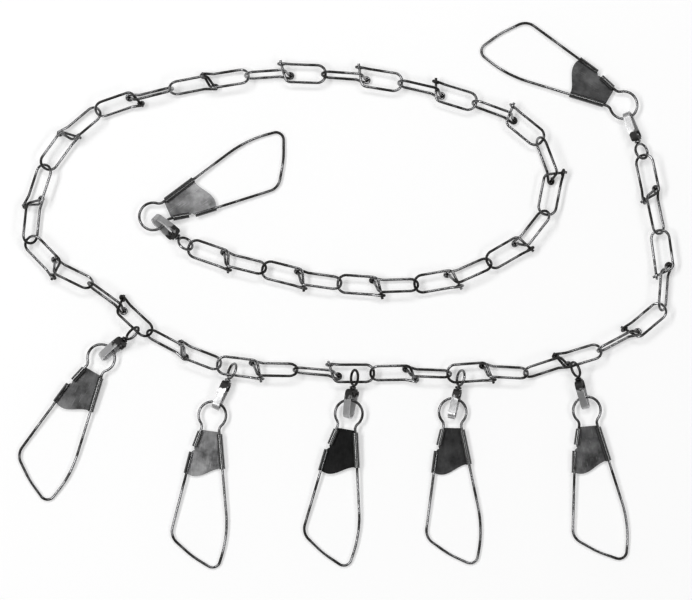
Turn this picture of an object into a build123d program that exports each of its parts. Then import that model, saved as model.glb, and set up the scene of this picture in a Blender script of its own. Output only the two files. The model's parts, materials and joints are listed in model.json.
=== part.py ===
"""Chain fish stringer: a chain of bent wire links with seven swivels and seven safety-pin snaps.

It lies as photographed, on a table at Z = 0. Each link is one wire with a round bow at one end and a
locked end at the other, where one leg is wrapped round the cross bar. Bow meets bow and lock meets
lock along the chain, so two links locked together make one sub-part. Units are millimetres.
"""
import math
import os
from collections import namedtuple

from build123d import *

# Chain
CHAIN_WIRE = 1.6
LINK_PITCH = 23.0
LINK_WIDTH = 12.4
LINK_PLAY = 0.4
BOW_CORNER = 5.0
BAR_CORNER = 3.4
BAR_SLANT = 17.0
BAR_STUB = 2.2
WRAP_PLAY = 0.15
WRAP_ENTRY = 3.2
WRAP_TURN = 255.0
WRAP_RISE = 6.0
CHAIN_HEIGHT = 6.6

# Direction of every link on the table, from the inner end, and its lean about that direction (degrees)
LINK_HEADINGS = [
    -19, -14, -14, -8, -4, 2, 10, 24, 30, 52,
    79, 111, 141, 160, 163, 167, 171, 176, 178, 184,
    189, 191, 194, 199, 220, 234, 252, 264, 314, 334,
    324, 317, 332, 339, 353, 359, 355, 360, 361, 358,
    364, 357, 378, 377, 388, 400, 446, 458, 462, 462,
]
LINK_LEANS = [
    12, -47, 12, -47, 12, -48, 15, -48, 12, -52,
    10, -62, 5, -72, 8, -72, 5, -74, 8, -72,
    38, -48, 75, -38, 38, -25, 35, -45, 20, -48,
    75, -38, 58, -45, 12, -48, 72, -18, 38, -68,
    10, -55, 55, -38, 75, -27, 63, -8, 50, -25,
]
# Play where the bows of two links are pushed together, by the number of the first of them
BOW_SLACK = {12: 0.7, 28: 1.2, 30: 0.4, 46: 0.8}

# Swivel: wire eye with a headed shank, turning in a lapped strap stirrup
EYE_WIRE = 1.6
EYE_INSIDE = 7.6
EYE_TILT = 25.0
SHANK_PLAY = 0.3
NECK_WRAP = 1.4
NECK_SINK = 0.14
HEAD_WIDTH = 4.0
HEAD_THICK = 1.2
HEAD_ROUND = 0.6
STRAP_THICK = 1.0
STRAP_WIDTH = 4.2
STRAP_BEND = 1.4
STRAP_LAP = 2.6
LAP_PLAY = 0.1
STIRRUP_WIDTH = 9.6
STIRRUP_LENGTH = 17.0
SHOULDER = 0.32
SHOULDER_BEND = 5.0
NOSE_INSIDE = 5.0
NOSE_FLAT = 0.12
NOSE_HEIGHT = 4.7
NOSE_PLAY = 0.8
RING_REST = 0.45

# Snap: one spring wire bent into ring and loop, its ends held by a rolled keeper plate
SNAP_WIRE = 1.6
RING_INSIDE = 14.8
NECK_ANGLE = 50.0
NECK_BEND = 4.0
NECK_STRAIGHT = 0.1
LEG_SPREAD = 12.8
KEEPER_START = 9.6
KEEPER_LENGTH = 27.0
KEEPER_SLOPE = 5.5
KEEPER_SHEET = 0.6
EDGE_DIP = 0.6
EDGE_DIP_AT = 0.15
EDGE_SWELL = 0.3
EDGE_SWELL_AT = 0.6
ROLL_INSET = 1.0
ROLL_WRAP = 280.0
NOTCH_RUN = 1.0
NOTCH_DEPTH = 0.7
CATCH_WRAP = 165.0
CATCH_LEAD = 0.5
CATCH_PLAY = 0.35
ANCHOR_END = 20.0
PIN_END = 24.0
PIN_OFFSET = 9.2
BULGE_AT = 70.0
BULGE_BEND = 70.0
SNAP_LENGTH = 92.5
TIP_OFFSET = 15.6
TIP_BEND = 4.6
FOOT_BOW = 1.6
FOOT_BEND = 50.0
FLEX_AT = 8.0
CORNER_AT = 75.5
CORNER_OFFSET = 15.0
CORNER_BEND = 9.0
FLEX_PLAY = 0.1
TABLE_PLAY = 0.1

# Each drop: the link and the part of it that carries the eye, the place along that wire, whether the eye is
# hung on it or pushed up past it, the directions of swivel and snap, how far the snap's ring has slid up
# the stirrup from its nose, and the stirrup's turn on its shank (degrees)
Drop = namedtuple("Drop", "wire link along eye swivel snap slid spin")
DROPS = [
    Drop("bow", 1, 0.0, "hung", 140, 24, 5.2, 35),
    Drop("leg", 32, 5.0, "hung", 218, 240, 6.0, 25),
    Drop("leg", 35, -4.0, "pushed", 246, 262, 1.5, 12),
    Drop("leg", 38, 0.5, "pushed", 261, 260, 8.5, 30),
    Drop("leg", 41, -5.5, "pushed", 257, 269, 9.5, 10),
    Drop("leg", 44, -5.5, "hung", 286, 275, 4.5, 15),
    Drop("bow", 50, 0.0, "hung", 111, 150, 1.0, -20),
]

WIRE_STEP = CHAIN_WIRE + LINK_PLAY
HALF_LINK = (LINK_PITCH + WIRE_STEP) / 2
LEG_SIDE = (LINK_WIDTH - CHAIN_WIRE) / 2
EYE_RADIUS = (EYE_INSIDE + EYE_WIRE) / 2
RING_RADIUS = (RING_INSIDE + SNAP_WIRE) / 2
STRAP_AT = EYE_RADIUS + EYE_WIRE / 2 + NECK_WRAP + SHANK_PLAY + STRAP_THICK / 2
NOSE_AT = STRAP_AT + STIRRUP_LENGTH
LAP_STEP = STRAP_THICK + LAP_PLAY
SHOULDER_AT = STRAP_AT + STIRRUP_LENGTH * SHOULDER
SIDE_HALF = (STIRRUP_WIDTH - STRAP_THICK) / 2
NOSE_HALF = (NOSE_INSIDE + STRAP_THICK) / 2
SNAP_HANG = NOSE_AT - STRAP_THICK / 2 - NOSE_PLAY - SNAP_WIRE / 2
EYE_SEAT = EYE_RADIUS - EYE_WIRE / 2 - CHAIN_WIRE / 2 - LINK_PLAY


def heading(angle):
    """Level direction at an angle from +X."""
    return Vector(math.cos(math.radians(angle)), math.sin(math.radians(angle)), 0)


def rounded_path(points, bends):
    """Wire through points, with each inner point rounded by its bend radius."""
    points = [Vector(*p) for p in points]
    edges = []
    last = points[0]
    for before, corner, after, bend in zip(points, points[1:], points[2:], bends):
        into = (corner - before).normalized()
        out = (after - corner).normalized()
        half_turn = math.radians(into.get_angle(out)) / 2
        reach = bend * math.tan(half_turn)
        inward = (out - into).normalized()
        middle = corner + inward * (bend / math.cos(half_turn) - bend)
        start = corner - into * reach
        end = corner + out * reach
        if (start - last).length > 1e-4:
            edges.append(Line(last, start))
        edges.append(ThreePointArc(start, middle, end))
        last = end
    if (points[-1] - last).length > 1e-4:
        edges.append(Line(last, points[-1]))
    return Wire(edges)


def bent(points, bends, section):
    """Solid swept by a section along a rounded path, the section drawn on the path's first point."""
    path = rounded_path(points, bends)
    plane = Plane(path @ 0, x_dir=(0, 0, 1), z_dir=path % 0)
    return sweep(plane * section, path=path)


def round_tangents(center, radius, start, turn, steps, lift):
    """Corners that, rounded by radius, follow a circle from one angle through a turn."""
    step = turn / steps
    reach = radius / math.cos(math.radians(step) / 2)
    return [lift(center, reach, start + step * (k + 0.5)) for k in range(steps)]


def in_plan(center, reach, angle):
    """Point round a center in the XY plane."""
    x, y = center
    return (x + reach * math.cos(math.radians(angle)), y + reach * math.sin(math.radians(angle)), 0)


def make_link():
    """One link along X: bow at -X, locked end at +X with its wrap on the -Y leg."""
    slant = math.tan(math.radians(BAR_SLANT))
    wrap = CHAIN_WIRE + WRAP_PLAY
    bar_x = HALF_LINK + LEG_SIDE * slant
    rise = math.degrees(math.asin(wrap / WRAP_RISE))

    def in_wrap(center, reach, angle):
        x, y = center
        return (x + reach * math.cos(math.radians(angle)), y, reach * math.sin(math.radians(angle)))

    coil = round_tangents((bar_x, -LEG_SIDE), wrap, 90 + rise, -WRAP_TURN, 3, in_wrap)
    coil_end = in_wrap((bar_x, -LEG_SIDE), wrap, 90 + rise - WRAP_TURN)
    points = [
        (bar_x + BAR_STUB * slant, -LEG_SIDE - BAR_STUB, 0),
        (HALF_LINK - LEG_SIDE * slant, LEG_SIDE, 0),
        (-HALF_LINK, LEG_SIDE, 0),
        (-HALF_LINK, -LEG_SIDE, 0),
        (bar_x - WRAP_RISE, -LEG_SIDE, 0),
        *coil,
        coil_end,
    ]
    bends = [BAR_CORNER, BOW_CORNER, BOW_CORNER, WRAP_ENTRY, wrap, wrap, wrap]
    return bent(points, bends, Circle(CHAIN_WIRE / 2))


def chain_points():
    """Meeting points of the links on the table, from the inner end of the chain."""
    points = [Vector(0, 0, CHAIN_HEIGHT)]
    for number, angle in enumerate(LINK_HEADINGS, 1):
        bow = number - number % 2
        points.append(points[-1] + heading(angle) * (LINK_PITCH - BOW_SLACK.get(bow, 0) / 2))
    return points


def link_plane(number):
    """Frame of a link counted from 1, with X to its locked end. Even links are turned end for end."""
    along = heading(LINK_HEADINGS[number - 1])
    lean = math.radians(LINK_LEANS[number - 1])
    across = Vector(0, 0, 1).cross(along)
    normal = Vector(0, 0, 1) * math.cos(lean) - across * math.sin(lean)
    to_lock = along if number % 2 else along * -1
    lock = chain_points()[number if number % 2 else number - 1]
    return Plane(lock - to_lock * (LINK_PITCH / 2), x_dir=to_lock, z_dir=normal)


def hang_wire(drop):
    """Point on the link's wire that carries a drop, and the direction of that wire."""
    plane = link_plane(drop.link)
    odd = 1 if drop.link % 2 else -1
    if drop.wire == "bow":
        return plane.from_local_coords(Vector(-HALF_LINK, drop.along, 0)), plane.y_dir
    return plane.from_local_coords(Vector(odd * drop.along, -odd * LEG_SIDE, 0)), plane.x_dir


def swivel_plane(drop):
    """Frame of a swivel: origin in its eye, X along the shank, Z up."""
    point, _ = hang_wire(drop)
    seat = EYE_SEAT if drop.eye == "hung" else -EYE_SEAT
    drop_angle = math.asin((point.Z - NOSE_HEIGHT) / (seat + SNAP_HANG))
    level = heading(drop.swivel)
    shank = level * math.cos(drop_angle) - Vector(0, 0, 1) * math.sin(drop_angle)
    side = Vector(0, 0, 1).cross(level)
    return Plane(point + shank * seat, x_dir=shank, z_dir=shank.cross(side))


def eye_plane(drop):
    """Frame of a swivel eye: turned about its shank so that the link's wire passes through it."""
    swivel = swivel_plane(drop)
    _, wire = hang_wire(drop)
    lean = math.degrees(math.atan(wire.dot(swivel.z_dir) / wire.dot(swivel.y_dir)))
    lean += math.copysign(EYE_TILT, lean)
    return Plane(swivel.location * Rot(lean, 0, 0))


def stirrup_plane(drop):
    """Frame of a stirrup: the swivel's, turned about the shank."""
    return Plane(swivel_plane(drop).location * Rot(drop.spin, 0, 0))


def held_point(drop):
    """Middle of the ring wire where it rests on the stirrup's lower strap."""
    x = SNAP_HANG - drop.slid
    part = max(0, (x - SHOULDER_AT) / (NOSE_AT - NOSE_HALF - SHOULDER_AT))
    inside = SIDE_HALF - part * (SIDE_HALF - NOSE_HALF) - STRAP_THICK / 2
    spin = math.radians(abs(drop.spin))
    floor = inside * math.cos(spin) - STRAP_WIDTH / 2 * math.sin(spin)
    sink = floor - SNAP_WIRE / 2 - RING_REST
    return swivel_plane(drop).from_local_coords(Vector(x, 0, -sink))


def snap_plane(drop):
    """Frame of a snap: origin in its ring, X towards its tip, which rests on the table."""
    center = held_point(drop) + heading(drop.swivel) * RING_RADIUS
    fall = math.asin((center.Z - SNAP_WIRE / 2 - TABLE_PLAY) / SNAP_LENGTH)
    level = heading(drop.snap)
    along = level * math.cos(fall) - Vector(0, 0, 1) * math.sin(fall)
    side = Vector(0, 0, 1).cross(level)
    return Plane(center, x_dir=along, z_dir=along.cross(side))


def make_eye():
    """Eye with its shank along X, a wrapped neck and a head inside the stirrup."""
    ring = Rot(90, 0, 0) * Torus(EYE_RADIUS, EYE_WIRE / 2)
    head_at = STRAP_AT + LAP_STEP + STRAP_THICK / 2 + SHANK_PLAY
    along = Rot(0, 90, 0)
    length = head_at + HEAD_THICK - EYE_RADIUS
    shank = Pos(EYE_RADIUS, 0, 0) * along * Cylinder(
        EYE_WIRE / 2, length, align=(Align.CENTER, Align.CENTER, Align.MIN))
    neck = Pos(EYE_RADIUS + EYE_WIRE / 2 + NECK_WRAP / 2, 0, 0) * along * Torus(
        EYE_WIRE / 2 + NECK_WRAP / 2 - NECK_SINK, NECK_WRAP / 2)
    head = Pos(head_at, 0, 0) * along * Cylinder(
        HEAD_WIDTH / 2, HEAD_THICK, align=(Align.CENTER, Align.CENTER, Align.MIN))
    head = fillet(head.edges().sort_by(Axis.X)[-1], HEAD_ROUND)
    return ring + shank + neck + head


def make_stirrup():
    """Strap stirrup in the XZ plane, its lapped ends bored for the shank, its nose at +X."""
    points = [
        (STRAP_AT, 0, -STRAP_LAP),
        (STRAP_AT, 0, SIDE_HALF),
        (SHOULDER_AT, 0, SIDE_HALF),
        (NOSE_AT - NOSE_HALF, 0, NOSE_HALF),
        (NOSE_AT, 0, NOSE_HALF),
        (NOSE_AT, 0, -NOSE_HALF),
        (NOSE_AT - NOSE_HALF, 0, -NOSE_HALF),
        (SHOULDER_AT, 0, -SIDE_HALF),
        (STRAP_AT + LAP_STEP, 0, -SIDE_HALF),
        (STRAP_AT + LAP_STEP, 0, STRAP_LAP),
    ]
    half = [STRAP_BEND, SHOULDER_BEND, SHOULDER_BEND, NOSE_HALF - NOSE_FLAT / 2]
    path = rounded_path(points, half + half[::-1])
    start = Plane(path @ 0, x_dir=(0, 1, 0), z_dir=path % 0)
    strap = sweep(start * Rectangle(STRAP_WIDTH, STRAP_THICK), path=path)
    bore = Pos(STRAP_AT, 0, 0) * Rot(0, 90, 0) * Cylinder(
        EYE_WIRE / 2 + SHANK_PLAY, 2 * (LAP_STEP + STRAP_THICK))
    return strap - bore


def leg_line(side, x):
    """Point of the ring wire's straight leg on one side of the snap (+1 or -1) at a place along it."""
    turn = math.radians(LEG_SPREAD + 90 - NECK_ANGLE)
    neck = math.radians(NECK_ANGLE)
    reach = NECK_BEND * math.tan(turn / 2) + NECK_STRAIGHT
    neck_x = RING_RADIUS * math.cos(neck) + reach * math.sin(neck)
    neck_y = RING_RADIUS * math.sin(neck) - reach * math.cos(neck)
    x = neck_x if x is None else x
    return Vector(x, side * (neck_y + (x - neck_x) * math.tan(math.radians(LEG_SPREAD))), 0)


def pin_line(x):
    """Point of the pin leg's centre line at a place along the snap."""
    part = (x - PIN_END) / (CORNER_AT - PIN_END)
    return Vector(x, -PIN_OFFSET - part * (CORNER_OFFSET - PIN_OFFSET), 0)


def foot_middle():
    """Middle of the loop's foot, which bows outwards between the tip and the corner."""
    tip = Vector(SNAP_LENGTH, TIP_OFFSET, 0)
    corner = pin_line(CORNER_AT)
    outward = (corner - tip).normalized().rotate(Axis.Z, 90)
    return (tip + corner) * 0.5 + outward * FOOT_BOW


def flex_point():
    """Place past the tip where the loop's spring is gathered into one hinge."""
    tip = Vector(SNAP_LENGTH, TIP_OFFSET, 0)
    return tip + (foot_middle() - tip).normalized() * FLEX_AT


def make_snap_wire():
    """Fixed part of the snap wire: clamped end, ring, rolled-in leg, bowed leg and tip."""
    ring = round_tangents((0, 0), RING_RADIUS, -NECK_ANGLE, 2 * NECK_ANGLE - 360, 3, in_plan)
    points = [
        leg_line(-1, ANCHOR_END),
        leg_line(-1, None),
        *ring,
        leg_line(1, None),
        leg_line(1, BULGE_AT),
        (SNAP_LENGTH, TIP_OFFSET, 0),
        flex_point(),
    ]
    bends = [NECK_BEND, RING_RADIUS, RING_RADIUS, RING_RADIUS, NECK_BEND, BULGE_BEND, TIP_BEND]
    wire = bent(points, bends, Circle(SNAP_WIRE / 2))
    return wire - Pos(flex_point()) * Sphere(SNAP_WIRE / 2 + FLEX_PLAY)


def make_pin_arm():
    """Springy part of the snap wire: foot of the loop and the pin leg that the keeper catches."""
    points = [flex_point(), foot_middle(), pin_line(CORNER_AT), pin_line(PIN_END)]
    arm = bent(points, [FOOT_BEND, CORNER_BEND], Circle(SNAP_WIRE / 2))
    return arm + Pos(flex_point()) * Sphere(SNAP_WIRE / 2)


def rolled_edge(start, end, inside, first, turn):
    """Sheet rolled round the line from start to end, from an angle seen along it and through a turn."""
    along = (end - start).normalized()
    plane = Plane(start, x_dir=Vector(0, 0, 1).cross(along), z_dir=along)
    outside = inside + KEEPER_SHEET
    inner = CenterArc((0, 0), inside, first, turn)
    outer = CenterArc((0, 0), outside, first, turn)
    rim = [inner, Line(inner @ 1, outer @ 1), outer, Line(outer @ 0, inner @ 0)]
    return extrude(plane * make_face(rim), (end - start).length)


def make_keeper():
    """Keeper plate under the wires: a roll on the fixed leg, a clamp and an open catch on the other side."""
    top = -SNAP_WIRE / 2 - CATCH_PLAY
    near = KEEPER_START
    far = KEEPER_START + KEEPER_LENGTH
    fixed_far = far - KEEPER_SLOPE
    notch = (ANCHOR_END + PIN_END) / 2
    left_far = pin_line(far)
    right_far = leg_line(1, fixed_far)
    width = right_far.Y - left_far.Y
    edge = Spline(
        right_far,
        (fixed_far + EDGE_DIP, right_far.Y - width * EDGE_DIP_AT),
        (far + EDGE_SWELL, right_far.Y - width * EDGE_SWELL_AT),
        left_far,
    )
    sides = Polyline(
        left_far,
        pin_line(notch + NOTCH_RUN),
        Vector(notch, leg_line(-1, notch).Y + NOTCH_DEPTH, 0),
        leg_line(-1, ANCHOR_END + NOTCH_RUN),
        leg_line(-1, near),
        leg_line(1, near),
        right_far,
    )
    sheet = Pos(0, 0, top - KEEPER_SHEET) * extrude(make_face([edge, *sides.edges()]), KEEPER_SHEET)
    roll = SNAP_WIRE / 2 + CATCH_PLAY
    fixed = rolled_edge(leg_line(1, near + ROLL_INSET), leg_line(1, fixed_far), roll, -90, ROLL_WRAP)
    clamp = rolled_edge(leg_line(-1, near + ROLL_INSET), leg_line(-1, ANCHOR_END), roll, 270, -ROLL_WRAP)
    catch = rolled_edge(pin_line(PIN_END - CATCH_LEAD), pin_line(far), roll, 270, -CATCH_WRAP)
    return sheet + fixed + clamp + catch


def build():
    """All sub-parts by name, in place on the table."""
    parts = {}
    link = make_link()
    for pair in range(1, len(LINK_HEADINGS) // 2 + 1):
        links = [link_plane(n).location * link for n in (2 * pair - 1, 2 * pair)]
        parts[f"chain_links_{pair:02d}"] = Compound(links)
    pieces = {
        "swivel_eye": (make_eye(), eye_plane),
        "swivel_stirrup": (make_stirrup(), stirrup_plane),
        "snap_wire": (make_snap_wire(), snap_plane),
        "snap_pin": (make_pin_arm(), snap_plane),
        "snap_keeper": (make_keeper(), snap_plane),
    }
    for number, drop in enumerate(DROPS, 1):
        for name, (piece, place) in pieces.items():
            parts[f"{name}_{number}"] = place(drop).location * piece
    return parts


def centring(parts):
    """Move that puts the middle of the footprint on the origin and the lowest point on the table."""
    box = Compound(list(parts.values())).bounding_box()
    return Pos(-box.center().X, -box.center().Y, -box.min.Z)


PARTS = build()
CENTRING = centring(PARTS)
os.makedirs("parts", exist_ok=True)
for part_name, part in PARTS.items():
    export_step(CENTRING * part, f"parts/{part_name}.step")
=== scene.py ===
"""Looks of a chain fish stringer: dark plated wire, paler straps and satin keeper plates on a white table."""
import json
import math

import bmesh
import bpy
from bpy.props import FloatProperty, FloatVectorProperty, PointerProperty
from bpy.types import Operator, Panel, PropertyGroup
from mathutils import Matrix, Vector


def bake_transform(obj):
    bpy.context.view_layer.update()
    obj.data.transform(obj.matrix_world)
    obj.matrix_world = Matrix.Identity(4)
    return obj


bl_info = {
    "name": "Fish stringer looks",
    "version": (1, 0, 0),
    "blender": (4, 5, 0),
    "location": "View3D > Sidebar > Stringer",
    "description": "Dresses the packed fish stringer and sets it on a white table",
    "category": "Object",
}

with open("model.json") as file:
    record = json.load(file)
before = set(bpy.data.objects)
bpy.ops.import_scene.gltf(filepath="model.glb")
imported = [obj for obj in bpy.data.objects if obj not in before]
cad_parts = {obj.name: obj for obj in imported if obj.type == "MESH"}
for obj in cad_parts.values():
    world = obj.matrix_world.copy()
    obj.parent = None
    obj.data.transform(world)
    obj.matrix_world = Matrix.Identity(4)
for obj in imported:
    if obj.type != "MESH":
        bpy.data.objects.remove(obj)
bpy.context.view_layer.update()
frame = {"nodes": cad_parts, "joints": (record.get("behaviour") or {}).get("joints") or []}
NODES = frame["nodes"]
JOINTS = {joint["name"]: joint for joint in frame["joints"]}
SNAPS = range(1, 8)

# Snap wire, and the reach of the ball at which it is parted, in metres.
WIRE_RADIUS = 0.0008
FLEX_BALL = 0.002

# Skin over a spring bend: its thickness at the middle and half its length, and the rings and sides of its mesh.
BEND_SKIN = 0.00003
BEND_HALF = 0.0022
BEND_RINGS = 29
BEND_SIDES = 24

# Plating: depth of its relief, its patches of film, the grime and painted shade in its crevices, its dents and
# its fine scuffs.
PLATING_RELIEF = 0.00003
PATCHES = {"scale": 75, "detail": 6, "roughness": 0.55}
PATCH_EDGE = (0.43, 0.56)
CREVICE_REACH = 0.0015
CREVICE_SAMPLES = 8
GRIME_AND_SHADE_EDGE = (0.95, 0.45)
FILM_DULLS = 0.3
DENTS = {"scale": 420, "detail": 2, "roughness": 0.4}
SCUFFS = {"scale": 2600, "detail": 3, "distortion": 1.5}
SCUFFS_DULL = 0.10
SCUFFS_LIFT = 0.06

# Darkening round a swivel's shank: its ragged edge, how far that reaches out, where it ends and how black it
# gets.
SHANK_DARK_NOISE = {"scale": 380, "detail": 4}
SHANK_DARK_RAGGED = 0.008
SHANK_DARK_EDGE = (0.0018, 0.0038)
SHANK_DARK_FLOOR = 0.4

# Keeper sheet: its metal, and its rolled grain, drawn out along the snap.
SHEET_METALLIC = 0.75
SHEET_COOL = 1.01
SHEET_RELIEF = 0.000006
GRAIN = {"scale": 1, "detail": 4, "roughness": 0.65}
GRAIN_STRETCH = (120, 3000, 3000)
GRAIN_SPREAD = (0.3, 0.7)
GRAIN_LIFT = (-0.5, 0.5)
GRAIN_DULLS = 0.18

# Wear of the keeper sheet: smudges and slanted scratches; and a painted reflection that darkens the sheet near
# the ring and brightens it towards the tip.
SMUDGES = {"scale": 95, "detail": 6, "roughness": 0.62}
SMUDGE_SPREAD = (0.3, 0.7)
SMUDGE_SHADES = (0.3, 1.9)
SCRATCHES = {"scale": 1, "detail": 2}
SCRATCH_STRETCH = (90, 2400, 2400)
SCRATCH_SLANT = 0.5
SCRATCH_EDGE = (0.64, 0.72)
SCRATCH_GLINT = 0.8
REFLECTION_RUN = (0.012, 0.040)
REFLECTION_SHADES = (0.7, 1.3)

# Rolled edges of the keeper sheet, painted black as shade: the height over which they turn black, and their
# roughness.
ROLL_FADE = 0.0004
ROLL_POLISH = 0.11

# Light of the room from the horizon up: height and grey.
ROOM_LIGHT = ((0.0, 0.95), (0.10, 0.90), (0.20, 0.30), (0.5, 0.12), (1.0, 0.05))

# Lamps: name, place, length and width in metres, and the setting that holds the power.
LAMPS = (
    ("Key lamp", (-1.3, 0.3, 2.6), (2.0, 0.5), "key_power"),
    ("Back lamp", (0.2, 1.2, 2.6), (1.6, 0.4), "back_power"),
    ("Fill lamp", (1.3, -0.5, 2.6), (1.6, 0.4), "fill_power"),
)
TABLE_ROUGHNESS = 0.9
SENSOR_WIDTH = 36.0
CAMERA_REACH = 50

# A mix node has sockets of the same name for values and for colours, so they are told apart by number.
VALUE_A, VALUE_B, VALUE_MIXED = 2, 3, 0
COLOR_A, COLOR_B, COLOR_MIXED = 6, 7, 2

SOCKETS = {"value": "NodeSocketFloat", "color": "NodeSocketColor", "vector": "NodeSocketVector"}
FINISH = {"Color": "color", "Roughness": "value", "Height": "value"}


class PlatingSettings(PropertyGroup):
    """Plating of the wires and straps."""

    wire_color: FloatVectorProperty(
        name="Wire colour", description="Colour of the plated chain and snap wire",
        subtype="COLOR", size=3, min=0, max=1, default=(0.25, 0.25, 0.254))
    strap_color: FloatVectorProperty(
        name="Strap colour", description="Colour of the plated stirrup straps",
        subtype="COLOR", size=3, min=0, max=1, default=(0.70, 0.70, 0.705))
    # This colour also paints shade into the crevices of the plating.
    tarnish_and_shade_color: FloatVectorProperty(
        name="Tarnish and shade colour", description="Colour of the dull film in patches on the plating",
        subtype="COLOR", size=3, min=0, max=1, default=(0.022, 0.021, 0.020))
    polish: FloatProperty(
        name="Roughness", description="Roughness of the clean plating",
        subtype="FACTOR", min=0, max=1, default=0.10)
    satin: FloatProperty(
        name="Strap roughness", description="Roughness of the satin stirrup straps",
        subtype="FACTOR", min=0, max=1, default=0.36)
    strap_patches: FloatProperty(
        name="Strap patches", description="How much of the wires' dull patches the straps show",
        subtype="FACTOR", min=0, max=1, default=0.3)
    tarnish_and_shade: FloatProperty(
        name="Tarnish", description="How strong the dull film is",
        subtype="FACTOR", min=0, max=1, default=0.95)


class PlateSettings(PropertyGroup):
    """Satin finish of the keeper plates, with a painted reflection in each plate's grey and painted shade on its
    rolled edges.
    """

    # Each plate's grey is set apart from the others as a painted reflection of the room, one grey per plate.
    tones_with_reflection: FloatVectorProperty(
        name="Tones with reflection", description="Grey of each keeper plate, in the order of the snaps along the chain",
        size=7, min=0, max=1, default=(0.22, 0.09, 0.22, 0.010, 0.040, 0.125, 0.055))
    # The rolled edges are painted black: painted shade on the same sheet.
    roll_shade_color: FloatVectorProperty(
        name="Roll shade colour", description="Colour of the blackened rolled edges",
        subtype="COLOR", size=3, min=0, max=1, default=(0.11, 0.11, 0.11))
    roughness: FloatProperty(
        name="Roughness", description="Roughness of the satin sheet",
        subtype="FACTOR", min=0, max=1, default=0.38)
    grain: FloatProperty(
        name="Grain", description="Strength of the rolled grain in the sheet",
        subtype="FACTOR", min=0, max=1, default=0.25)


class StageSettings(PropertyGroup):
    """White table, lamps and camera."""

    table_color: FloatVectorProperty(
        name="Table colour", description="Colour of the table top",
        subtype="COLOR", size=3, min=0, max=1, default=(0.72, 0.72, 0.72))
    table_glow: FloatProperty(
        name="Table glow", description="Light that the seen table adds, so that it shows white",
        subtype="FACTOR", min=0, max=1, default=0.37)
    table_width: FloatProperty(
        name="Table width", description="Side of the square table top",
        subtype="DISTANCE", unit="LENGTH", min=1, default=12.0)
    key_power: FloatProperty(
        name="Key lamp", description="Power of the lamp on the left, in watts", min=0, default=42.0)
    back_power: FloatProperty(
        name="Back lamp", description="Power of the lamp behind, in watts", min=0, default=19.0)
    fill_power: FloatProperty(
        name="Fill lamp", description="Power of the lamp on the right, in watts", min=0, default=13.0)
    camera_height: FloatProperty(
        name="Camera height", description="Height of the camera over the table",
        subtype="DISTANCE", unit="LENGTH", min=0.5, default=2.4)
    view_width: FloatProperty(
        name="View width", description="Width of the table that the picture shows",
        subtype="DISTANCE", unit="LENGTH", min=0.1, default=0.4152)
    view_center: FloatVectorProperty(
        name="View centre", description="Place on the table in the middle of the picture",
        subtype="XYZ", unit="LENGTH", size=2, default=(0.0001, -0.0028))


class StringerLook(PropertyGroup):
    """All settings of the dressed stringer."""

    plating: PointerProperty(type=PlatingSettings)
    plate: PointerProperty(type=PlateSettings)
    stage: PointerProperty(type=StageSettings)


def look():
    """Settings kept with the scene."""
    return bpy.context.scene.stringer_look


def new_node(tree, kind, inputs=None, **attributes):
    """Node of a kind with its attributes, each input by name or number given a value or another node's output."""
    node = tree.nodes.new(kind)
    for name, value in attributes.items():
        setattr(node, name, value)
    for name, value in (inputs or {}).items():
        if isinstance(value, bpy.types.NodeSocket):
            tree.links.new(value, node.inputs[name])
        else:
            node.inputs[name].default_value = value
    return node


def reckon(tree, operation, *inputs):
    """Result of a math operation on values and outputs."""
    return new_node(tree, "ShaderNodeMath", dict(enumerate(inputs)), operation=operation).outputs["Value"]


def spread(tree, value, start, end, low=0.0, high=1.0):
    """Value that goes from low to high while another goes from start to end."""
    ends = {"Value": value, "From Min": start, "From Max": end, "To Min": low, "To Max": high}
    return new_node(tree, "ShaderNodeMapRange", ends).outputs["Result"]


def mottle(tree, place, scale, detail, roughness=0.5, distortion=0.0):
    """Cloudy noise over a place, between 0 and 1."""
    values = {"Vector": place, "Scale": scale, "Detail": detail, "Roughness": roughness, "Distortion": distortion}
    return new_node(tree, "ShaderNodeTexNoise", values).outputs["Fac"]


def own_place(tree):
    """Place on a piece in its own coordinates."""
    return new_node(tree, "ShaderNodeTexCoord").outputs["Object"]


def new_group(name, inputs, outputs):
    """Empty shader node group with its named sockets, what it is given and what it puts out."""
    group = bpy.data.node_groups.new(name, "ShaderNodeTree")
    for label, kind in inputs.items():
        group.interface.new_socket(label, in_out="INPUT", socket_type=SOCKETS[kind])
    for label, kind in outputs.items():
        group.interface.new_socket(label, in_out="OUTPUT", socket_type=SOCKETS[kind])
    return group, group.nodes.new("NodeGroupInput").outputs, group.nodes.new("NodeGroupOutput").inputs


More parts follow.
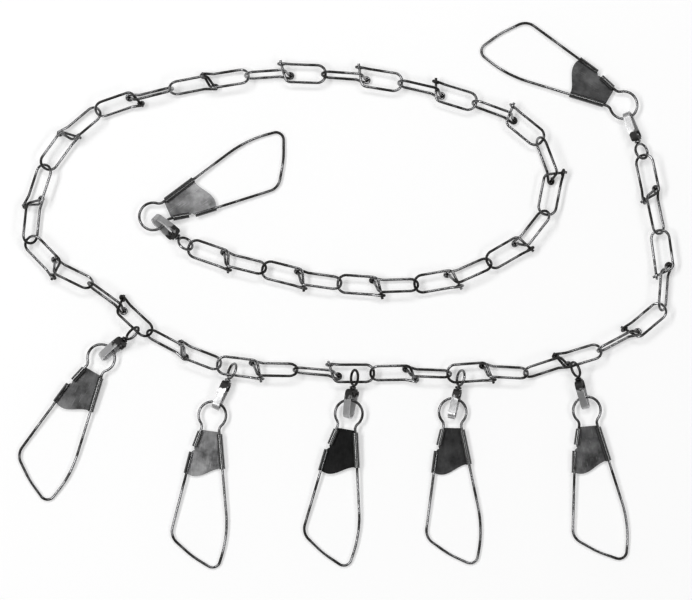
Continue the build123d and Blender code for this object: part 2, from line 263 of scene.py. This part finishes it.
def plating_wear_and_shade_group():
    """Dull patches, grime and painted shade in crevices, dents and fine scuffs of used plating."""
    found = bpy.data.node_groups.get("Plating wear")
    if found:
        return found
    inputs = {"Clean": "color", "Tarnished": "color", "Tarnish": "value", "Patches": "value",
              "Polish": "value", "Open": "value"}
    group, given, made = new_group("Plating wear", inputs, FINISH)
    place = own_place(group)
    scuffs = mottle(group, place, **SCUFFS)
    dents = mottle(group, place, **DENTS)
    patches = spread(group, mottle(group, place, **PATCHES), *PATCH_EDGE)
    patched = reckon(group, "MULTIPLY", patches, given["Patches"])
    # Painted shade and grime: the colour darkens where ambient occlusion finds a crevice.
    grime_and_shade = spread(group, given["Open"], *GRIME_AND_SHADE_EDGE)
    film_and_shade = reckon(group, "MULTIPLY", reckon(group, "MAXIMUM", patched, grime_and_shade), given["Tarnish"])
    tint = new_node(
        group, "ShaderNodeMix",
        {"Factor": film_and_shade, COLOR_A: given["Clean"], COLOR_B: given["Tarnished"]}, data_type="RGBA")
    dull = reckon(group, "MULTIPLY_ADD", film_and_shade, FILM_DULLS, given["Polish"])
    group.links.new(tint.outputs[COLOR_MIXED], made["Color"])
    group.links.new(reckon(group, "MULTIPLY_ADD", scuffs, SCUFFS_DULL, dull), made["Roughness"])
    group.links.new(reckon(group, "MULTIPLY_ADD", scuffs, SCUFFS_LIFT, dents), made["Height"])
    return group


def shank_darkening_group():
    """Darkening with a ragged edge round a swivel's shank, put out as a value that darkens the strap as its
    crevices are darkened.
    """
    found = bpy.data.node_groups.get("Shank soil")
    if found:
        return found
    group, given, made = new_group("Shank soil", {"Shank": "vector"}, {"Open": "value"})
    place = own_place(group)
    away = new_node(
        group, "ShaderNodeVectorMath", {0: place, 1: given["Shank"]}, operation="DISTANCE").outputs["Value"]
    reach = reckon(group, "MULTIPLY_ADD", mottle(group, place, **SHANK_DARK_NOISE), -SHANK_DARK_RAGGED, away)
    group.links.new(spread(group, reach, *SHANK_DARK_EDGE, low=SHANK_DARK_FLOOR), made["Open"])
    return group


def sheet_grain_group():
    """Satin sheet with grain, scratches and smudges and a painted reflection along it, its rolled edges painted
    black as shade and burnished above a level.
    """
    found = bpy.data.node_groups.get("Sheet grain")
    if found:
        return found
    inputs = {"Tone": "color", "Roll": "color", "Direction": "vector", "Start": "value", "Up": "vector",
              "Level": "value", "Grain": "value", "Roughness": "value"}
    group, given, made = new_group("Sheet grain", inputs, FINISH)
    place = own_place(group)
    turned = new_node(
        group, "ShaderNodeMapping", {"Vector": place, "Rotation": given["Direction"]},
        vector_type="TEXTURE").outputs["Vector"]

    drawn = new_node(group, "ShaderNodeMapping", {"Vector": turned, "Scale": GRAIN_STRETCH})
    grain = mottle(group, drawn.outputs["Vector"], **GRAIN)
    lift = spread(group, grain, *GRAIN_SPREAD, *GRAIN_LIFT)
    smudges = spread(group, mottle(group, place, **SMUDGES), *SMUDGE_SPREAD, *SMUDGE_SHADES)
    slanted = new_node(
        group, "ShaderNodeMapping",
        {"Vector": turned, "Rotation": (0, 0, SCRATCH_SLANT), "Scale": SCRATCH_STRETCH})
    scratches = spread(
        group, mottle(group, slanted.outputs["Vector"], **SCRATCHES), *SCRATCH_EDGE, high=SCRATCH_GLINT)
    bright = reckon(group, "ADD", reckon(group, "MULTIPLY_ADD", lift, given["Grain"], smudges), scratches)

    split = new_node(group, "ShaderNodeSeparateXYZ", {"Vector": turned})
    along = reckon(group, "SUBTRACT", split.outputs["X"], given["Start"])
    # Painted reflection: the sheet is darker near the ring and paler towards the tip.
    lit = reckon(group, "MULTIPLY", bright, spread(group, along, *REFLECTION_RUN, *REFLECTION_SHADES))
    shade = new_node(group, "ShaderNodeVectorMath", {0: given["Tone"], "Scale": lit}, operation="SCALE")

    height = new_node(group, "ShaderNodeVectorMath", {0: place, 1: given["Up"]}, operation="DOT_PRODUCT")
    over = reckon(group, "SUBTRACT", height.outputs["Value"], given["Level"])
    # Painted shade: the rolled edges above the level go black.
    roll_shade_mask = spread(group, over, 0.0, ROLL_FADE)
    color = new_node(
        group, "ShaderNodeMix",
        {"Factor": roll_shade_mask, COLOR_A: shade.outputs["Vector"], COLOR_B: given["Roll"]}, data_type="RGBA")
    rough = reckon(group, "MULTIPLY_ADD", lift, GRAIN_DULLS, given["Roughness"])
    burnished = new_node(group, "ShaderNodeMix", {"Factor": roll_shade_mask, VALUE_A: rough, VALUE_B: ROLL_POLISH})
    group.links.new(color.outputs[COLOR_MIXED], made["Color"])
    group.links.new(burnished.outputs[VALUE_MIXED], made["Roughness"])
    group.links.new(grain, made["Height"])
    return group


def new_material(name, metallic):
    """Material with a bare principled shader."""
    material = bpy.data.materials.new(name)
    material.use_nodes = True
    shader = material.node_tree.nodes["Principled BSDF"]
    shader.inputs["Metallic"].default_value = metallic
    return material, shader


def finish_from_group(material, shader, group, inputs, relief):
    """Feeds a shader's colour, roughness and bump from a finish group."""
    tree = material.node_tree
    finish = new_node(tree, "ShaderNodeGroup", inputs, node_tree=group)
    bump = new_node(
        tree, "ShaderNodeBump", {"Strength": 1.0, "Distance": relief, "Height": finish.outputs["Height"]})
    tree.links.new(finish.outputs["Color"], shader.inputs["Base Color"])
    tree.links.new(finish.outputs["Roughness"], shader.inputs["Roughness"])
    tree.links.new(bump.outputs["Normal"], shader.inputs["Normal"])


def plated_metal(name, color, polish, patches=1.0, shank=None):
    """Plating with its wear and painted shade in crevices, blackened round a swivel's shank if one is given."""
    settings = look().plating
    material, shader = new_material(name, 1.0)
    tree = material.node_tree
    # Ambient occlusion darkens the plating in its crevices: painted shade, and grime as well.
    crevices = new_node(
        tree, "ShaderNodeAmbientOcclusion", {"Distance": CREVICE_REACH}, samples=CREVICE_SAMPLES, only_local=True)
    open_to_light = crevices.outputs["AO"]
    # The strap goes darker with a ragged edge close to the swivel's shank.
    if shank is not None:
        shank_dark = new_node(tree, "ShaderNodeGroup", {"Shank": shank}, node_tree=shank_darkening_group())
        open_to_light = reckon(tree, "MINIMUM", shank_dark.outputs["Open"], open_to_light)
    inputs = {"Clean": (*color, 1), "Tarnished": (*settings.tarnish_and_shade_color, 1), "Tarnish": settings.tarnish_and_shade,
              "Patches": patches, "Polish": polish, "Open": open_to_light}
    finish_from_group(material, shader, plating_wear_and_shade_group(), inputs, PLATING_RELIEF)
    return material


def joint_place(name):
    """Place of a joint at rest."""
    return Vector(JOINTS[name]["pos_m"])


def snap_line(number):
    """Way from the ring of a snap to its tip."""
    return joint_place(f"pin_open_{number}") - joint_place(f"snap_swing_{number}")


def snap_heading(number):
    """Direction of a snap on the table, from its ring to its tip, in radians from +X."""
    along = snap_line(number)
    return math.atan2(along.y, along.x)


def snap_up(number):
    """Direction square to the plane in which a snap's wire lies."""
    along = snap_line(number)
    across = Vector((0, 0, 1)).cross(along)
    return along.cross(across).normalized()


def keeper_sheet(number):
    """Satin sheet of one keeper plate, its grain along the snap."""
    settings = look().plate
    material, shader = new_material(f"Keeper sheet {number}", SHEET_METALLIC)
    # The grey of this plate holds a painted reflection of the room.
    tone_with_reflection = settings.tones_with_reflection[number - 1]
    up = snap_up(number)
    heading = snap_heading(number)
    ring = joint_place(f"snap_swing_{number}")
    inputs = {
        "Tone": (tone_with_reflection, tone_with_reflection, tone_with_reflection * SHEET_COOL, 1),
        "Roll": (*settings.roll_shade_color, 1),
        "Direction": (0, 0, heading),
        "Start": ring.x * math.cos(heading) + ring.y * math.sin(heading),
        "Up": up,
        "Level": up.dot(joint_place(f"pin_open_{number}")) - WIRE_RADIUS,
        "Grain": settings.grain,
        "Roughness": settings.roughness,
    }
    finish_from_group(material, shader, sheet_grain_group(), inputs, SHEET_RELIEF)
    return material


def dress(node, material):
    """Gives a piece of the stringer its one material."""
    if node not in NODES:
        raise RuntimeError(f"The frame has no {node}")
    mesh = NODES[node].data
    mesh.materials.clear()
    mesh.materials.append(material)


def foot_direction(number):
    """Direction of a snap's foot where it leaves the spring bend, to the next ring of corners on the foot."""
    bend = joint_place(f"pin_open_{number}")
    foot = [v.co for v in NODES[f"snap_pin_{number}"].data.vertices if (v.co - bend).length > FLEX_BALL]
    nearest = min((corner - bend).length for corner in foot)
    ring = [corner for corner in foot if (corner - bend).length < nearest + FLEX_BALL]
    return (sum(ring, Vector()) / len(ring) - bend).normalized()


def tube(name, centre, along, radii, half_length):
    """Straight round bar as a mesh, its radii spread evenly along it."""
    across = along.orthogonal().normalized()
    up = along.cross(across)
    turns = [2 * math.pi * side / BEND_SIDES for side in range(BEND_SIDES)]
    spokes = [across * math.cos(turn) + up * math.sin(turn) for turn in turns]
    mesh = bmesh.new()
    rings = []
    for k, radius in enumerate(radii):
        middle = centre + along * half_length * (2 * k / (len(radii) - 1) - 1)
        rings.append([mesh.verts.new(middle + radius * spoke) for spoke in spokes])
    for before, after in zip(rings, rings[1:]):
        for side in range(BEND_SIDES):
            beside = (side + 1) % BEND_SIDES
            face = mesh.faces.new((before[side], before[beside], after[beside], after[side]))
            face.smooth = True
    mesh.faces.new(rings[0][::-1])
    mesh.faces.new(rings[-1])
    data = bpy.data.meshes.new(name)
    mesh.to_mesh(data)
    mesh.free()
    piece = bpy.data.objects.new(name, data)
    bpy.context.scene.collection.objects.link(piece)
    return piece


class STRINGER_OT_chain(Operator):
    """Plate the links of the chain"""

    bl_idname = "stringer.chain"
    bl_label = "Chain links"

    def execute(self, context):
        settings = look().plating
        plating = plated_metal("Chain plating", settings.wire_color, settings.polish)
        links = [node for node in NODES if node.startswith("chain_links")]
        if not links:
            raise RuntimeError("The frame has no chain links")
        for node in links:
            dress(node, plating)
        return {"FINISHED"}


class STRINGER_OT_swivels(Operator):
    """Plate the swivel eyes and stirrups"""

    bl_idname = "stringer.swivels"
    bl_label = "Swivels"

    def execute(self, context):
        settings = look().plating
        wire = plated_metal("Swivel plating", settings.wire_color, settings.polish)
        for number in SNAPS:
            strap = plated_metal(
                f"Strap plating {number}", settings.strap_color, settings.satin, settings.strap_patches,
                joint_place(f"swivel_spin_{number}"))
            dress(f"swivel_eye_{number}", wire)
            dress(f"swivel_stirrup_{number}", strap)
        return {"FINISHED"}


class STRINGER_OT_snaps(Operator):
    """Plate the snap wires and close each spring bend"""

    bl_idname = "stringer.snaps"
    bl_label = "Snap wires"

    def execute(self, context):
        settings = look().plating
        plating = plated_metal("Snap plating", settings.wire_color, settings.polish)
        for number in SNAPS:
            dress(f"snap_wire_{number}", plating)
            dress(f"snap_pin_{number}", plating)
            self.close_bend(number, plating)
        return {"FINISHED"}

    def close_bend(self, number, plating):
        """Skin over the place where a snap's wire springs, so that it looks as one wire."""
        bend = joint_place(f"pin_open_{number}")
        along = foot_direction(number)
        swells = [math.sin(math.pi * k / (BEND_RINGS - 1)) for k in range(BEND_RINGS)]
        radii = [WIRE_RADIUS + BEND_SKIN * swell for swell in swells]
        piece = tube(f"spring_bend_{number}", bend, along, radii, BEND_HALF)
        piece.data.materials.append(plating)
        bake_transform(piece)


class STRINGER_OT_keepers(Operator):
    """Finish the keeper plates"""

    bl_idname = "stringer.keepers"
    bl_label = "Keeper plates"

    def execute(self, context):
        for number in SNAPS:
            dress(f"snap_keeper_{number}", keeper_sheet(number))
        return {"FINISHED"}


class STRINGER_OT_stage(Operator):
    """Set the white table, the lamps and the camera"""

    bl_idname = "stringer.stage"
    bl_label = "Stage"

    def execute(self, context):
        scene = context.scene
        scene.view_settings.view_transform = "Standard"
        self.lay_table(scene)
        self.light_room(scene)
        self.hang_lamps(scene)
        self.set_camera(scene)
        return {"FINISHED"}

    def lay_table(self, scene):
        """Plain white table top."""
        settings = look().stage
        half = settings.table_width / 2
        corners = [(-half, -half, 0), (half, -half, 0), (half, half, 0), (-half, half, 0)]
        mesh = bpy.data.meshes.new("table_top")
        mesh.from_pydata(corners, [], [(0, 1, 2, 3)])
        table = bpy.data.objects.new("table_top", mesh)
        scene.collection.objects.link(table)
        material, shader = new_material("White table", 0.0)
        shader.inputs["Base Color"].default_value = (*settings.table_color, 1)
        shader.inputs["Roughness"].default_value = TABLE_ROUGHNESS
        shader.inputs["Specular IOR Level"].default_value = 0.0
        self.show_white(material.node_tree, shader)
        mesh.materials.append(material)

    def show_white(self, tree, shader):
        """Lets the table show white to the camera and in metal, with its shadows kept."""
        shader.inputs["Emission Color"].default_value = (1, 1, 1, 1)
        path = new_node(tree, "ShaderNodeLightPath")
        seen = path.outputs["Is Camera Ray"]
        for ray in ("Is Glossy Ray", "Is Transmission Ray"):
            seen = reckon(tree, "MAXIMUM", seen, path.outputs[ray])
        glow = reckon(tree, "MULTIPLY", seen, look().stage.table_glow)
        tree.links.new(glow, shader.inputs["Emission Strength"])

    def light_room(self, scene):
        """Pale walls low down and a dim ceiling over the camera."""
        world = bpy.data.worlds.new("Room")
        world.use_nodes = True
        scene.world = world
        tree = world.node_tree
        direction = new_node(tree, "ShaderNodeTexCoord").outputs["Generated"]
        split = new_node(tree, "ShaderNodeSeparateXYZ", {"Vector": direction})
        ramp = new_node(tree, "ShaderNodeValToRGB", {"Fac": split.outputs["Z"]})
        elements = ramp.color_ramp.elements
        while len(elements) < len(ROOM_LIGHT):
            elements.new(0.5)
        for element, (height, light) in zip(elements, ROOM_LIGHT):
            element.position = height
            element.color = (light, light, light, 1)
        tree.links.new(ramp.outputs["Color"], tree.nodes["Background"].inputs["Color"])

    def hang_lamps(self, scene):
        """Long soft lamps on the left, behind and on the right, each facing the stringer."""
        for name, place, size, power in LAMPS:
            light = bpy.data.lights.new(name, "AREA")
            light.shape = "RECTANGLE"
            light.size, light.size_y = size
            light.energy = getattr(look().stage, power)
            lamp = bpy.data.objects.new(name, light)
            lamp.location = place
            lamp.rotation_euler = (-Vector(place)).to_track_quat("-Z", "Y").to_euler()
            scene.collection.objects.link(lamp)

    def set_camera(self, scene):
        """Camera straight over the table."""
        settings = look().stage
        data = bpy.data.cameras.new("Camera")
        data.sensor_width = SENSOR_WIDTH
        data.lens = SENSOR_WIDTH * settings.camera_height / settings.view_width
        data.clip_end = CAMERA_REACH
        camera = bpy.data.objects.new("Camera", data)
        camera.location = (*settings.view_center, settings.camera_height)
        scene.collection.objects.link(camera)
        scene.camera = camera


OPERATORS = (STRINGER_OT_chain, STRINGER_OT_swivels, STRINGER_OT_snaps, STRINGER_OT_keepers, STRINGER_OT_stage)


class STRINGER_PT_looks(Panel):
    """Sidebar list of the steps that dress the stringer"""

    bl_idname = "STRINGER_PT_looks"
    bl_label = "Fish stringer"
    bl_space_type = "VIEW_3D"
    bl_region_type = "UI"
    bl_category = "Stringer"

    def draw(self, context):
        for operator in OPERATORS:
            self.layout.operator(operator.bl_idname)
        settings = context.scene.stringer_look
        for group in (settings.plating, settings.plate, settings.stage):
            for name in group.bl_rna.properties.keys():
                if name not in ("rna_type", "name"):
                    self.layout.prop(group, name)


CLASSES = (PlatingSettings, PlateSettings, StageSettings, StringerLook, *OPERATORS, STRINGER_PT_looks)


def register():
    """Registers the classes and keeps the settings with the scene."""
    for cls in CLASSES:
        bpy.utils.register_class(cls)
    bpy.types.Scene.stringer_look = PointerProperty(type=StringerLook)


def unregister():
    """Takes back what register does."""
    del bpy.types.Scene.stringer_look
    for cls in reversed(CLASSES):
        bpy.utils.unregister_class(cls)


def main():
    """Dresses the stringer and sets the stage."""
    register()
    bpy.ops.stringer.chain()
    bpy.ops.stringer.swivels()
    bpy.ops.stringer.snaps()
    bpy.ops.stringer.keepers()
    bpy.ops.stringer.stage()


if __name__ == "__main__":
    main()
